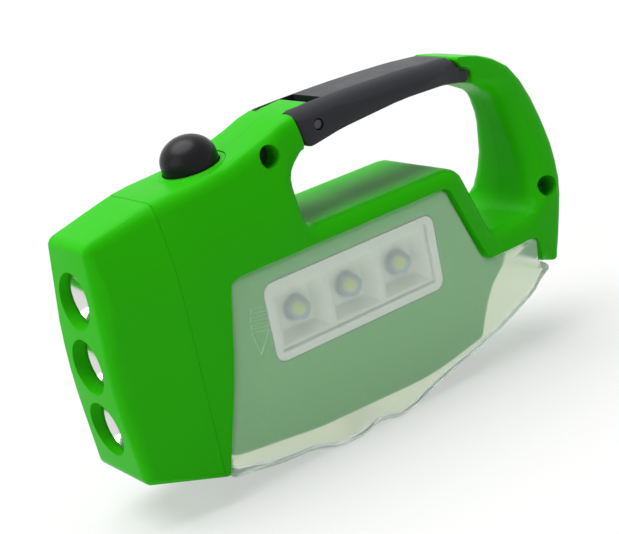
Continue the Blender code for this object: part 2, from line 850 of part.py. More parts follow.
def make_side_lamp(frame_finish, reflector_finish, led_finish, board_finish):
    """Side lamp: rim with a flange behind the wall, reflector with three wells, lamps, board."""
    middle = (along(LAMP_X_SHARE), up(LAMP_Z_SHARE))
    inner = (LAMP_LENGTH - LAMP_RIM * 2, LAMP_WIDTH - LAMP_RIM * 2)
    inner_corner = LAMP_CORNER - LAMP_RIM
    face = -CORE_HALF
    back = face + LAMP_DEPTH

    size = (LAMP_LENGTH, LAMP_WIDTH)
    frame = tile("lamp_frame", middle, size, LAMP_CORNER, face, back, frame_finish)
    size = (LAMP_LENGTH + LAMP_FLANGE * 2, LAMP_WIDTH + LAMP_FLANGE * 2)
    low = face + WALL + GAP
    high = low + LAMP_FLANGE_THICKNESS
    combine(frame, tile("lamp_flange", middle, size, LAMP_CORNER, low, high), "UNION")
    cut(frame, tile("lamp_hole", middle, inner, inner_corner, face - WALL, back + WALL))

    top = face + LAMP_CELL_WALL
    bottom = top + LAMP_REFLECTOR_DEPTH
    size = (inner[0] - GAP * 2, inner[1] - GAP * 2)
    reflector = tile("lamp_reflector", middle, size, inner_corner, top, bottom, reflector_finish)
    pitch = (inner[0] - LAMP_CELL_WALL) / 3
    mouth = (pitch - LAMP_CELL_WALL, inner[1] - LAMP_CELL_WALL * 2)
    floor = bottom - LAMP_CELL_WALL
    back_plane = bottom + GAP + LED_FLANGE_HEIGHT
    for number in (1, 2, 3):
        x, z = middle[0] + (number - 2) * pitch, middle[1]
        cut(reflector, lamp_well(f"lamp_well_{number}", (x, z), (top, floor), mouth))
        hole = LED_DIAMETER / 2 + GAP
        cut(reflector, rod(f"lamp_hole_{number}", (x, top, z), (x, bottom + OVERRUN, z), hole))
        make_led(f"lamp_led_{number}", (x, back_plane, z), (0, -1, 0), led_finish)
    low = back_plane + GAP
    tile("lamp_board", middle, inner, inner_corner, low, low + BOARD_THICKNESS, board_finish)


def lamp_well(name, place, depths, size):
    """Tapered rectangular well that opens towards -Y."""
    builder = bmesh.new()
    bmesh.ops.create_cube(builder, size=1)
    for vertex in builder.verts:
        deep = vertex.co.y > 0
        share = LAMP_WELL_FLOOR_SHARE if deep else 1
        vertex.co.x = place[0] + vertex.co.x * size[0] * share
        vertex.co.z = place[1] + vertex.co.z * size[1] * share
        vertex.co.y = depths[1] if deep else depths[0] - GAP
    return mesh_object(name, builder)


def make_button(rubber, plastic, board_finish):
    """Domed button with its retaining flange and stem, over a push switch on its own board."""
    frame = button_frame()
    axis = frame.to_3x3() @ Vector((0, 0, 1))
    radius = BUTTON_DIAMETER / 2
    stem = STEM_DIAMETER / 2
    under = WALL + GAP * 2
    bottom = under + BUTTON_FLANGE_HEIGHT
    stem_end = bottom + STEM_LENGTH
    dome_steps = 5
    rise = BUTTON_RISE - BUTTON_SIDE
    profile = [(0, BUTTON_RISE)]
    for step in range(1, dome_steps + 1):
        angle = math.pi / 2 * step / dome_steps
        profile.append((radius * math.sin(angle), BUTTON_SIDE + rise * math.cos(angle)))
    profile += [
        (radius, -under),
        (radius + BUTTON_FLANGE + GAP, -under),
        (radius + BUTTON_FLANGE + GAP, -bottom),
        (stem, -bottom),
        (stem, -stem_end),
        (0, -stem_end),
    ]
    turned("button", profile, frame.translation, axis, rubber)
    plunger_top = stem_end + GAP
    plunger_end = plunger_top + PLUNGER_LENGTH
    place = frame @ Vector((0, 0, -plunger_end))
    plunger = PLUNGER_DIAMETER / 2
    profile = [(0, PLUNGER_LENGTH), (plunger, PLUNGER_LENGTH), (plunger, 0), (0, 0)]
    turned("switch_plunger", profile, place, axis, plastic, steps=FEW_STEPS)
    switch_top = -plunger_top - BUTTON_TRAVEL - GAP
    switch_base = switch_top - SWITCH_HEIGHT
    half = SWITCH_WIDTH / 2
    switch = box("switch_body", (-half, -half, switch_base), (half, half, switch_top), plastic)
    well_end = plunger_end + BUTTON_TRAVEL + GAP
    well = rod("switch_well", (0, 0, -well_end), (0, 0, 0), plunger + GAP, steps=FEW_STEPS)
    board_top = switch_base - GAP
    board_half = SWITCH_BOARD_LENGTH / 2
    side = CORE_HALF - WALL - GAP
    board = box(
        "switch_board",
        (-board_half, -side, board_top - BOARD_THICKNESS),
        (board_half, side, board_top),
        board_finish,
    )
    for item in (switch, well, board):
        item.matrix_world = frame
    cut(switch, well)


def make_gate(gate_finish, metal):
    """Sprung gate of the handle: forked over the body's tongue, on a pin."""
    pivot = Vector((along(PIVOT_X_SHARE), 0, up(PIVOT_Z_SHARE)))
    gate = form("gate", GATE_SHARES, inset=GATE_INSET, finish=gate_finish)
    half = TONGUE_HALF_WIDTH + GAP
    low = (-LENGTH, -half, 0)
    cut(gate, box("fork_slot", low, (pivot.x + FORK_DEPTH, half, HEIGHT * 2)))
    across = Vector((0, THICKNESS, 0))
    hole = PIN_DIAMETER / 2 + GAP
    cut(gate, rod("gate_pin_hole", pivot - across, pivot + across, hole, steps=FEW_STEPS))
    bake(gate)
    gate.data.transform(Matrix.Translation(-pivot))
    gate.location = pivot

    reach = Vector((0, half_thickness(pivot.x, pivot.z) - GATE_INSET - GAP, 0))
    rod("gate_pin", pivot - reach, pivot + reach, PIN_DIAMETER / 2, finish=metal, steps=FEW_STEPS)
    length = GATE_SPRING_TURNS * GATE_SPRING_PITCH + SPRING_WIRE
    coil(
        "gate_spring",
        pivot,
        (0, 1, 0),
        (GATE_SPRING_RADIUS, GATE_SPRING_RADIUS),
        length,
        GATE_SPRING_TURNS,
        SPRING_WIRE,
        SPRING_TURN_POINTS,
        metal,
    )


def make_screws(finish):
    """The screws that stand in the side bores."""
    head = SCREW_HEAD_DIAMETER / 2
    shank = SCREW_SHANK_DIAMETER / 2
    profile = [
        (0, SCREW_HEAD_HEIGHT),
        (head, SCREW_HEAD_HEIGHT),
        (head, 0),
        (shank, 0),
        (shank, -SCREW_LENGTH + GAP * 2),
        (0, -SCREW_LENGTH + GAP * 2),
    ]
    for number, (x_share, z_share) in enumerate(SCREW_SHARES, 1):
        place = (along(x_share), -SCREW_BORE_FLOOR - GAP, up(z_share))
        turned(f"shell_screw_{number}", profile, place, (0, -1, 0), finish, steps=FEW_STEPS)


def make_cover(finish):
    """Frosted cover: two side plates and the bottom strip that joins them."""
    cover = form("cover", COVER_SHARES, finish=finish)
    inner = form(
        "cover_inside", COVER_SHARES, inset=COVER_WALL, edge=INNER_EDGE_RADIUS, grow=-COVER_WALL
    )
    mouth = form("cover_mouth", COVER_MOUTH_SHARES, inset=COVER_WALL, edge=INNER_EDGE_RADIUS)
    cut(cover, inner, mouth)
    return cover


def shade_round(item):
    """Smooth shading that keeps the sharp edges."""
    if item.type == "MESH":
        item.data.shade_smooth()
        item.data.set_sharp_from_angle(angle=SHARP_ANGLE)


def build():
    clear_scene()
    new_collection(PARTS)
    new_collection(CUTTERS)
    green = material("green_abs", (62, 178, 12), 0.32)
    black = material("black_nylon", (45, 45, 50), 0.42)
    rubber = material("black_rubber", (34, 34, 36), 0.5)
    frosted = material("frosted_cover", (206, 220, 190), 0.45)
    white = material("white_abs", (226, 229, 214), 0.4)
    silver = material("reflector_chrome", (205, 208, 206), 0.18, 0.9)
    epoxy = material("led_epoxy", (236, 236, 222), 0.12)
    board = material("circuit_board", (24, 92, 48), 0.5)
    steel = material("spring_steel", (172, 174, 176), 0.3, 1.0)
    nickel = material("nickel_plate", (196, 192, 180), 0.28, 1.0)
    cell = material("cell_sleeve", (70, 74, 80), 0.35)

    body_form = make_body_form()
    make_bezel(body_form, green)
    make_front_lights(silver, epoxy, board)
    make_shells(body_form, green)
    make_cells(cell, steel, nickel)
    make_side_lamp(white, white, epoxy, board)
    make_button(rubber, black, board)
    make_gate(black, steel)
    make_screws(steel)
    make_cover(frosted)
    for item in bpy.data.collections[PARTS].objects:
        shade_round(item)


build()
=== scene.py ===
import json
import math

import bmesh
import bpy
from mathutils import Matrix, Vector
from mathutils.bvhtree import BVHTree

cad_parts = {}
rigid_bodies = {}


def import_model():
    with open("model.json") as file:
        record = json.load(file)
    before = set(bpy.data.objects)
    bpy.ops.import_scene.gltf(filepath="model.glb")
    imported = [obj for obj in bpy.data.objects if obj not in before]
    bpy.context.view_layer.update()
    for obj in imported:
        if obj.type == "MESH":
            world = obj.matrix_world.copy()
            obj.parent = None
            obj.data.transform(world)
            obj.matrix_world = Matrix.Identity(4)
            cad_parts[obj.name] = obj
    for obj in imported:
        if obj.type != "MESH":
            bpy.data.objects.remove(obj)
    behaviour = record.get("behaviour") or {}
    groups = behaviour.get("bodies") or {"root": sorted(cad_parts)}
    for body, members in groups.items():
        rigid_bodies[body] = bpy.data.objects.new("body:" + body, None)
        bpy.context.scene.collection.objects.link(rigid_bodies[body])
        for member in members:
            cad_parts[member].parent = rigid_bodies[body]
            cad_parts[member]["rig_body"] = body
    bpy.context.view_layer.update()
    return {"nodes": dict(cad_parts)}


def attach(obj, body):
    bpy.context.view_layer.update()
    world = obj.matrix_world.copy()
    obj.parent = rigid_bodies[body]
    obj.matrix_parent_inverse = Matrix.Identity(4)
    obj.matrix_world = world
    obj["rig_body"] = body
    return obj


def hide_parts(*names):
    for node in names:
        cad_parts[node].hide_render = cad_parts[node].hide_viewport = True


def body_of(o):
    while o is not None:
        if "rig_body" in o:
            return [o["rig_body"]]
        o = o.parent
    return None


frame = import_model()

bl_info = {
    "name": "Pocket torch with a carry loop",
    "version": (1, 0, 0),
    "blender": (4, 5, 0),
    "location": "3D View > Sidebar > Torch",
    "description": "Finishes a pocket torch with a sprung gate, a side light and a frosted cover",
    "category": "Add Mesh",
}

MM = 0.001
MERGE_DISTANCE = 0.001 * MM
FLAT_ANGLE = math.radians(0.6)
SHARP_ANGLE = math.radians(33)
NUMBERS = ("1", "2", "3")

# Ribs in the joints: how high they stand, and how far a point may lie below the joint's face.
RIB_HEIGHT = 0.26 * MM
JOINT_FLATNESS = 0.05 * MM

# The carry loop's arch. Angles are in degrees about the loop's middle, 0 to the rear, 90 upwards.
# The arch's inner side is INNER_RADIUS mm away. Past FALL_FROM it nears by INNER_FALL mm a degree.
LOOP_MIDDLE = Vector((20, 0, 45)) * MM
INNER_RADIUS = 31
INNER_FALL = 0.14
FALL_FROM = 5

# The rounding of its inner edge: where the path runs, where it eases in and out, and its section.
ROUNDED_SPAN = (-34, 40)
ROUNDED_IN, ROUNDED_OUT = (-33, -22), (28, 42)
LEAST_ROUNDING = 0.1
PATH_INSIDE, PATH_OUTSIDE = 3 * MM, 1 * MM
PATH_WIDTH = 0.2 * MM
ROUND_STEPS = 7
DEPTH_OF_RADIUS, DEPTH_OF_HALF = 1.1, 0.7
CUTTER_REACH = 2 * MM
CLEAR_OF_SIDE = 30 * MM

# The growth of its outer side: where it eases in and out, and how deep in the arch it starts.
GROWN_IN, GROWN_OUT = (-28, -14), (26, 58)
GROWN_FROM, GROWN_FULL = 1.5 * MM, 5.5 * MM

# The gate's crown. In mm: its start, its length, its half width and how that narrows, slightly over
# the first share of its length and well over the last. Then its highest place, which falls away by
# CROWN_CURVE times the distance squared, in metres.
CROWN_START = -9
CROWN_LENGTH = 51
CROWN_HALF = 9.0
CROWN_EASE, EASE_SHARE = 0.4, 0.6
CROWN_TAPER, TAPER_SHARE = 2.2, 0.28
CROWN_PEAK = 7.5 * MM
CROWN_TOP = 68.4 * MM
CROWN_CURVE = 1.2
CROWN_DEPTH = 14 * MM

# The push button's place, the heights and widths of its flange and stem, and its seat's section.
BUTTON_PLACE = Vector((-26.7, 0, 62.95)) * MM
BUTTON_AXIS = Vector((-0.121869, 0, 0.992546))
TURN_STEPS = 64
DOME_STEPS = 16
FLANGE_TOP = -2.2 * MM
FLANGE_FOOT = -3.1 * MM
FLANGE_REACH = 0.8 * MM
STEM_RADIUS = 1.8 * MM
STEM_FOOT = -5.3 * MM
SEAT_FOOT = -1.5 * MM
SEAT_SLOPE = 0.5 * MM
SEAT_FALL = 0.4 * MM

# The arrow moulded into the cover: the middle of its head's base, and its turn about Y.
ARROW_PLACE = Vector((-27.31, -12.65, 31.34)) * MM
ARROW_TURN = math.radians(10.8)

# The stage: towards each light, its width, and the camera that was solved from the photograph.
KEY_TOWARDS, KEY_WIDTH = (-0.14, 0.19, 0.97), math.radians(60)
FILL_TOWARDS, FILL_WIDTH = (-0.95, -0.05, 0.30), math.radians(50)
FLOOR_SIZE = 4.0
CAMERA_PLACE = Vector((-0.164583, -0.245353, 0.131540))
CAMERA_RIGHT = Vector((0.784764, -0.587798, -0.196568))
CAMERA_BACK = Vector((-0.517134, -0.795794, 0.315095))
CAMERA_LENS = 88.12
CAMERA_SENSOR = 36
CAMERA_NEAR, CAMERA_FAR = 0.01, 20


def linear(code):
    """The linear colour of an sRGB hex code."""
    channels = [int(code[at:at + 2], 16) / 255 for at in (0, 2, 4)]
    return [c / 12.92 if c <= 0.04045 else ((c + 0.055) / 1.055) ** 2.4 for c in channels]


def colour_setting(name, description, code):
    """A colour property whose default is an sRGB hex code."""
    return bpy.props.FloatVectorProperty(
        name=name, description=description, subtype="COLOR", size=3, min=0, max=1,
        default=linear(code))


def length_setting(name, description, millimetres):
    """A length property whose default is in millimetres."""
    return bpy.props.FloatProperty(
        name=name, description=description, subtype="DISTANCE", unit="LENGTH", min=0,
        default=millimetres * MM)


def share_setting(name, description, default):
    """A property from 0 to 1."""
    return bpy.props.FloatProperty(
        name=name, description=description, subtype="FACTOR", min=0, max=1, default=default)


def strength_setting(name, description, default):
    """A property for a light's strength."""
    return bpy.props.FloatProperty(name=name, description=description, min=0, default=default)


class TorchBodySettings(bpy.types.PropertyGroup):
    """Colours and edges of the moulded pieces."""

    green: colour_setting("Green", "Colour of the moulded body", "29B206")
    black: colour_setting("Black", "Colour of the gate and the switch", "25262B")
    rubber: colour_setting("Rubber", "Colour of the push button", "111114")
    arch_growth: length_setting("Arch growth", "How far the arch's outer side is moved out", 0.9)
    arch_edge: length_setting("Arch edge", "Radius of the arch's two inner edges", 3.9)
    gate_edge: length_setting("Gate edge", "Radius of the gate's two upper edges", 4.5)
    fine_edge: length_setting("Fine edge", "Radius that softens small moulded edges", 0.2)


class TorchButtonSettings(bpy.types.PropertyGroup):
    """Sizes of the push button's dome."""

    diameter: length_setting("Diameter", "Diameter of the dome", 11.3)
    rise: length_setting("Rise", "Height of the dome above the body", 6.2)
    side: length_setting("Side", "Height of the upright part of the dome's side", 1.5)
    seat_gap: length_setting("Seat gap", "Gap between the dome and the seat round it", 0.2)
    seat_width: length_setting("Seat width", "How far the seat reaches past the dome", 1.6)


class TorchCoverSettings(bpy.types.PropertyGroup):
    """Colour and clearness of the battery cover, and sizes of its arrow."""

    frost: colour_setting("Frost", "Colour of the frosted cover", "F3FAF6")
    milk: colour_setting("Milk", "Colour of the cover's far walls, seen through the near", "FFFEE4")
    clearness: share_setting(
        "Clearness", "Share of the light that passes through the cover", 0.84)
    arrow_width: length_setting("Arrow width", "Width of the arrow's bars and head", 4.0)
    head_height: length_setting("Arrow head", "Height of the arrow's head", 4.5)
    bar_pitch: length_setting("Bar pitch", "Distance between the arrow's bars", 1.53)
    bar_height: length_setting("Bar height", "Height of each bar of the arrow", 0.75)
    line: length_setting("Line", "Width of the arrow's raised outline", 0.28)


class TorchLampSettings(bpy.types.PropertyGroup):
    """Colours and places of the two light groups."""

    frame: colour_setting("Frame", "Colour of the side light's frame", "FFFCF4")
    tray: colour_setting("Tray", "Colour of the side light's tray", "FFFAF4")
    # The lens colour is a painted reflection: the grey-blue given to a lamp's epoxy where it turns
    # away from the eye.
    lens: colour_setting("Lens", "Colour of a lamp's rim, where its epoxy turns away", "A3B0C6")
    phosphor: colour_setting("Phosphor", "Colour of the lamps' phosphor", "D8DC86")
    forward: length_setting("Forward", "How far the front lights stand forward", 2.2)
    bowl_width: length_setting("Bowl width", "Diameter of a front reflector's rim", 10.7)


class TorchStageSettings(bpy.types.PropertyGroup):
    """Floor and light of the studio."""

    floor: colour_setting("Floor", "Colour of the studio floor", "DADAD9")
    paper_white: share_setting("Paper white", "How far the floor is lightened towards white", 0.52)
    paper_through: share_setting(
        "Paper through the cover", "The same for the floor behind a clear piece", 0.95)
    key: strength_setting("Key light", "Strength of the broad light from above", 4.0)
    fill: strength_setting("Fill light", "Strength of the light on the bezel's front", 0.75)
    ambient: strength_setting("Ambient", "Strength of the light from all round", 0.15)


def add_node(tree, kind, inputs=None, **settings):
    """Adds a node with its settings, and with a value or a link for each named input."""
    made = tree.nodes.new(kind)
    for name, value in settings.items():
        setattr(made, name, value)
    for name, value in (inputs or {}).items():
        if isinstance(value, bpy.types.NodeSocket):
            tree.links.new(value, made.inputs[name])
        else:
            made.inputs[name].default_value = value
    return made


def new_material(name):
    """An empty material, its node tree, its output and its object coordinates."""
    material = bpy.data.materials.new(name)
    material.use_nodes = True
    tree = material.node_tree
    tree.nodes.clear()
    output = add_node(tree, "ShaderNodeOutputMaterial")
    place = add_node(tree, "ShaderNodeTexCoord").outputs["Object"]
    return material, tree, output, place


def uneven_gloss(tree, place, low, high, patch, detail_share=0.5):
    """A roughness that wanders from low to high over patches of some size."""
    wear = add_node(tree, "ShaderNodeTexNoise", {
        "Vector": place, "Scale": 1 / patch, "Detail": 3.0, "Roughness": detail_share})
    gloss = add_node(tree, "ShaderNodeMapRange", {
        "Value": wear.outputs["Fac"], "From Min": 0.3, "From Max": 0.7,
        "To Min": low, "To Max": high})
    return gloss.outputs["Result"]


def mould_grain(tree, place, grain, depth):
    """The bumped normal of an eroded mould's grain, by the grain's size and its depth."""
    erosion = add_node(tree, "ShaderNodeTexNoise", {
        "Vector": place, "Scale": 1 / grain, "Detail": 2.0})
    bump = add_node(tree, "ShaderNodeBump", {
        "Height": erosion.outputs["Fac"], "Strength": 1.0, "Distance": depth})
    return bump.outputs["Normal"]


def moulded_plastic(name, colour, roughness, gloss_change, grain, depth, shine=0.5):
    """Moulded plastic: a fine eroded grain from the mould, and gloss that wanders with handling."""
    material, tree, output, place = new_material(name)
    gloss = uneven_gloss(tree, place, roughness - gloss_change, roughness + gloss_change,
                         patch=9 * MM, detail_share=0.6)
    shader = add_node(tree, "ShaderNodeBsdfPrincipled", {
        "Base Color": (*colour, 1), "IOR": 1.5, "Roughness": gloss,
        "Specular IOR Level": shine, "Normal": mould_grain(tree, place, grain, depth)})
    tree.links.new(shader.outputs["BSDF"], output.inputs["Surface"])
    return material


def green_abs(settings):
    """ABS, moulded in a lightly eroded mould: satin gloss with broad, soft highlights."""
    return moulded_plastic(
        "Green moulded ABS", settings.green, roughness=0.34, gloss_change=0.04,
        grain=0.45 * MM, depth=0.0025 * MM, shine=0.05)


def black_nylon(settings):
    """Nylon, moulded: darker and less glossy than ABS, with a grain that greys its highlights."""
    return moulded_plastic(
        "Black moulded nylon", settings.black, roughness=0.42, gloss_change=0.05,
        grain=0.4 * MM, depth=0.004 * MM, shine=0.2)


def black_rubber(settings):
    """Silicone rubber, moulded smooth: black with one wide, soft highlight."""
    return moulded_plastic(
        "Black silicone rubber", settings.rubber, roughness=0.3, gloss_change=0.04,
        grain=0.6 * MM, depth=0.002 * MM, shine=0.15)


def white_abs(name, colour):
    """ABS, moulded off-white: bright, with soft shading in its corners."""
    return moulded_plastic(
        name, colour, roughness=0.4, gloss_change=0.03, grain=0.5 * MM, depth=0.002 * MM)


def cell_sleeve():
    """Shrunk PVC sleeve: plain dark grey film with a gloss."""
    return moulded_plastic(
        "Shrunk PVC sleeve", linear("4A4E52"), roughness=0.25, gloss_change=0.04,
        grain=1.2 * MM, depth=0.004 * MM)


def frosted_cover(settings, name, clearness):
    """Polycarbonate, moulded frosted: it blurs and whitens what lies behind it.

    Its near wall is rough glass. Its far walls, seen through the near one, are milky and lit from
    behind. Light on its way to other pieces passes straight through, tinted.
    """
    material, tree, output, place = new_material(name)
    near = add_node(tree, "ShaderNodeBsdfPrincipled", {
        "Base Color": (*settings.frost, 1), "IOR": 1.4, "Roughness": 0.265,
        "Transmission Weight": clearness,
        "Normal": mould_grain(tree, place, grain=0.4 * MM, depth=0.002 * MM)})
    matt = add_node(tree, "ShaderNodeBsdfDiffuse", {"Color": (*settings.milk, 1)})
    glow = add_node(tree, "ShaderNodeBsdfTranslucent", {"Color": (*settings.milk, 1)})
    far = add_node(tree, "ShaderNodeMixShader", {
        "Fac": 0.85, 1: matt.outputs["BSDF"], 2: glow.outputs["BSDF"]})
    path = add_node(tree, "ShaderNodeLightPath")
    past_near = add_node(tree, "ShaderNodeMath", {
        0: path.outputs["Transmission Depth"], 1: 1.5}, operation="GREATER_THAN")
    wall = add_node(tree, "ShaderNodeMixShader", {
        "Fac": past_near.outputs["Value"], 1: near.outputs["BSDF"], 2: far.outputs["Shader"]})
    clear = add_node(tree, "ShaderNodeBsdfTransparent", {"Color": (*settings.frost, 1)})
    lights = add_node(tree, "ShaderNodeMath", {
        0: path.outputs["Is Shadow Ray"], 1: path.outputs["Is Diffuse Ray"]},
        operation="MAXIMUM")
    mix = add_node(tree, "ShaderNodeMixShader", {
        "Fac": lights.outputs["Value"], 1: wall.outputs["Shader"], 2: clear.outputs["BSDF"]})
    tree.links.new(mix.outputs["Shader"], output.inputs["Surface"])
    return material


def metal(name, code, roughness, patch):
    """Bare metal with fine uneven gloss."""
    material, tree, output, place = new_material(name)
    shader = add_node(tree, "ShaderNodeBsdfPrincipled", {
        "Base Color": (*linear(code), 1), "Metallic": 1.0,
        "Roughness": uneven_gloss(tree, place, roughness * 0.8, roughness * 1.2, patch)})
    tree.links.new(shader.outputs["BSDF"], output.inputs["Surface"])
    return material


def two_tones(tree, share, tones):
    """A colour that runs between two (place, colour) tones."""
    ramp = add_node(tree, "ShaderNodeValToRGB", {"Fac": share})
    for element, (place, colour) in zip(ramp.color_ramp.elements, tones):
        element.position = place
        element.color = (*colour, 1)
    return ramp.outputs["Color"]


def epoxy_lamp(settings):
    """Clear epoxy over phosphor: a glossy dome, pale yellow in the middle, with a painted
    reflection at its rim, where the colour turns grey-blue as the dome turns away from the eye.
    """
    material, tree, output, place = new_material("Lamp epoxy")
    cloud = add_node(tree, "ShaderNodeTexNoise", {
        "Vector": place, "Scale": 1 / (1.5 * MM), "Detail": 1.0})
    gloss = add_node(tree, "ShaderNodeMapRange", {
        "Value": cloud.outputs["Fac"], "To Min": 0.05, "To Max": 0.12})
    # Painted reflection: the colour runs from the phosphor to the lens colour as the surface turns
    # away from the eye.
    facing = add_node(tree, "ShaderNodeLayerWeight", {"Blend": 0.5})
    tint = two_tones(tree, facing.outputs["Facing"], (
        (0.06, settings.phosphor), (0.3, settings.lens)))
    shader = add_node(tree, "ShaderNodeBsdfPrincipled", {
        "Base Color": tint, "IOR": 1.53, "Roughness": gloss.outputs["Result"]})
    tree.links.new(shader.outputs["BSDF"], output.inputs["Surface"])
    return material


def circuit_board():
    """Fibreglass board with green solder mask: glossy, with a faint weave."""
    material, tree, output, place = new_material("Fibreglass board")
    weave = add_node(tree, "ShaderNodeTexVoronoi", {"Vector": place, "Scale": 1 / (0.6 * MM)})
    tint = two_tones(tree, weave.outputs["Distance"], (
        (0, linear("1C6B3A")), (1, linear("155430"))))
    shader = add_node(tree, "ShaderNodeBsdfPrincipled", {"Base Color": tint, "Roughness": 0.3})
    tree.links.new(shader.outputs["BSDF"], output.inputs["Surface"])
    return material


def merged(node):
    """A bmesh of a CAD piece with its loose triangles joined into whole faces."""
    bm = bmesh.new()
    bm.from_mesh(frame["nodes"][node].data)
    for layers in (bm.loops.layers.uv, bm.loops.layers.float_color):
        for layer in list(layers.values()):
            layers.remove(layer)
    bmesh.ops.remove_doubles(bm, verts=bm.verts, dist=MERGE_DISTANCE)
    bmesh.ops.dissolve_limit(
        bm, angle_limit=FLAT_ANGLE, use_dissolve_boundaries=False, verts=bm.verts,
        edges=bm.edges, delimit=set())
    return bm


def smooth_piece(name, bm, material):
    """An object from a bmesh, shaded smooth up to its sharp edges."""
    for face in bm.faces:
        face.smooth = True
        face.material_index = 0
    for line in bm.edges:
        line.smooth = line.is_manifold and line.calc_face_angle() < SHARP_ANGLE
    mesh = bpy.data.meshes.new(name)
    bm.to_mesh(mesh)
    bm.free()
    if "custom_normal" in mesh.attributes:
        mesh.attributes.remove(mesh.attributes["custom_normal"])
    mesh.materials.append(material)
    piece = bpy.data.objects.new(name, mesh)
    bpy.context.scene.collection.objects.link(piece)
    return piece


def finished_copy(node, material, edge=0.0, form=None):
    """A merged copy of a CAD piece takes its place, smooth, with its sharp edges softened."""
    piece = smooth_piece(node + "_finished", form or merged(node), material)
    if edge:
        soften = piece.modifiers.new("Edges", "BEVEL")
        soften.limit_method = "ANGLE"
        soften.angle_limit = SHARP_ANGLE
        soften.width = edge
        soften.segments = 2
        soften.use_clamp_overlap = True
    normals = piece.modifiers.new("Normals", "WEIGHTED_NORMAL")
    normals.keep_sharp = not edge
    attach(piece, body_of(frame["nodes"][node])[0])
    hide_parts(node)
    return piece


def thickened(bm, move):
    """Extrudes every face of a sheet by a move, and returns the points that moved."""
    raised = bmesh.ops.extrude_face_region(bm, geom=bm.faces[:])
    moved = [item for item in raised["geom"] if isinstance(item, bmesh.types.BMVert)]
    bmesh.ops.translate(bm, verts=moved, vec=move)
    bmesh.ops.recalc_face_normals(bm, faces=bm.faces)
    return moved


def combined(bm, other, operation):
    """A bmesh of one closed form cut or kept by another."""
    forms = []
    for form in (bm, other):
        mesh = bpy.data.meshes.new("form")
        form.to_mesh(mesh)
        form.free()
        forms.append(bpy.data.objects.new("form", mesh))
        bpy.context.scene.collection.objects.link(forms[-1])
    work = forms[0].modifiers.new("Combine", "BOOLEAN")
    work.object = forms[1]
    work.operation = operation
    work.solver = "EXACT"
    whole = bmesh.new()
    whole.from_object(forms[0], bpy.context.evaluated_depsgraph_get())
    for form in forms:
        bpy.data.meshes.remove(form.data)
    if not whole.faces:
        raise RuntimeError("nothing is left of " + operation)
    return whole


def joint_rib(name, node, normal, inset, material, form=None):
    """A rib on a piece's flat joint face, set in from its edge, which closes most of the joint."""
    bm = form or merged(node)
    normal = Vector(normal)
    reach = max(vertex.co.dot(normal) for vertex in bm.verts)
    rest = [
        face for face in bm.faces
        if any(vertex.co.dot(normal) < reach - JOINT_FLATNESS for vertex in face.verts)]
    bmesh.ops.delete(bm, geom=rest, context="FACES")
    ring = bmesh.ops.inset_region(bm, faces=bm.faces[:], thickness=inset, use_even_offset=True)
    bmesh.ops.delete(bm, geom=ring["faces"], context="FACES")
    thickened(bm, normal * RIB_HEIGHT)
    piece = smooth_piece(name, bm, material)
    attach(piece, body_of(frame["nodes"][node])[0])
    return piece


def ease(value, low, high):
    """0 at the low value, 1 at the high one, smooth in between."""
    share = min(max((value - low) / (high - low), 0), 1)
    return share * share * (3 - 2 * share)


def eased_span(angle, fade_in, fade_out):
    """1 between two angles, and eased to 0 over the range given for either end."""
    return ease(angle, *fade_in) * ease(-angle, -fade_out[1], -fade_out[0])


def from_loop_middle(point):
    """Distance and angle of a point seen from the carry loop's middle, and the inner line there."""
    out = Vector((point.x, 0, point.z)) - LOOP_MIDDLE
    angle = math.degrees(math.atan2(out.z, out.x))
    return out.length, angle, (INNER_RADIUS - INNER_FALL * max(angle - FALL_FROM, 0)) * MM


def arch_path(bm):
    """The points along the arch's inner side at the joint, from its foot up, with their angles."""
    path = []
    for vertex in bm.verts:
        distance, angle, inner = from_loop_middle(vertex.co)
        near = inner - PATH_INSIDE < distance < inner + PATH_OUTSIDE
        on_span = ROUNDED_SPAN[0] < angle < ROUNDED_SPAN[1]
        if abs(vertex.co.y) < PATH_WIDTH and on_span and near:
            path.append((angle, vertex.co.copy()))
    path.sort(key=lambda step: step[0])
    return path


def cutter_ring(place, inward, radius, half, side):
    """The section of the arch's cutter: a quarter round, closed by corners outside the arch."""
    depth = min(radius * DEPTH_OF_RADIUS, half * DEPTH_OF_HALF)
    turns = [math.pi / 2 * step / ROUND_STEPS for step in range(ROUND_STEPS + 1)]
    ring = [place + inward * radius * (1 - math.cos(turn)) + Vector((
        0, side * (half - depth * (1 - math.sin(turn))) - place.y, 0)) for turn in turns]
    beyond = Vector((0, side * CUTTER_REACH, 0))
    behind = ring[0] - inward * CUTTER_REACH
    return ring + [ring[-1] + beyond, behind + beyond + Vector((0, side * depth, 0)), behind]


def arch_cutter(path, side, edge):
    """The form that rounds the arch's inner edge on one side, swept along the path."""
    plain = merged("right_shell")
    tree = BVHTree.FromBMesh(plain)
    plain.free()
    places = [place for _, place in path]
    cutter = bmesh.new()
    loops = []
    for index, (angle, place) in enumerate(path):
        along = places[min(index + 1, len(path) - 1)] - places[max(index - 1, 0)]
        inward = Vector((along.z, 0, -along.x)).normalized()
        radius = edge * max(eased_span(angle, ROUNDED_IN, ROUNDED_OUT), LEAST_ROUNDING)
        outside = place + inward * radius
        outside.y = CLEAR_OF_SIDE
        hit = tree.ray_cast(outside, Vector((0, -1, 0)))[0]
        if hit is None:
            raise RuntimeError("the arch has no side at " + str(place))
        ring = cutter_ring(place, inward, radius, hit.y, side)
        points = [cutter.verts.new(point) for point in ring]
        loops.append([cutter.edges.new(pair) for pair in zip(points, points[1:] + points[:1])])
        if index:
            bmesh.ops.bridge_loops(cutter, edges=loops[-2] + loops[-1])
    bmesh.ops.holes_fill(cutter, edges=loops[0] + loops[-1], sides=0)
    bmesh.ops.triangulate(cutter, faces=cutter.faces)
    bmesh.ops.recalc_face_normals(cutter, faces=cutter.faces)
    return cutter


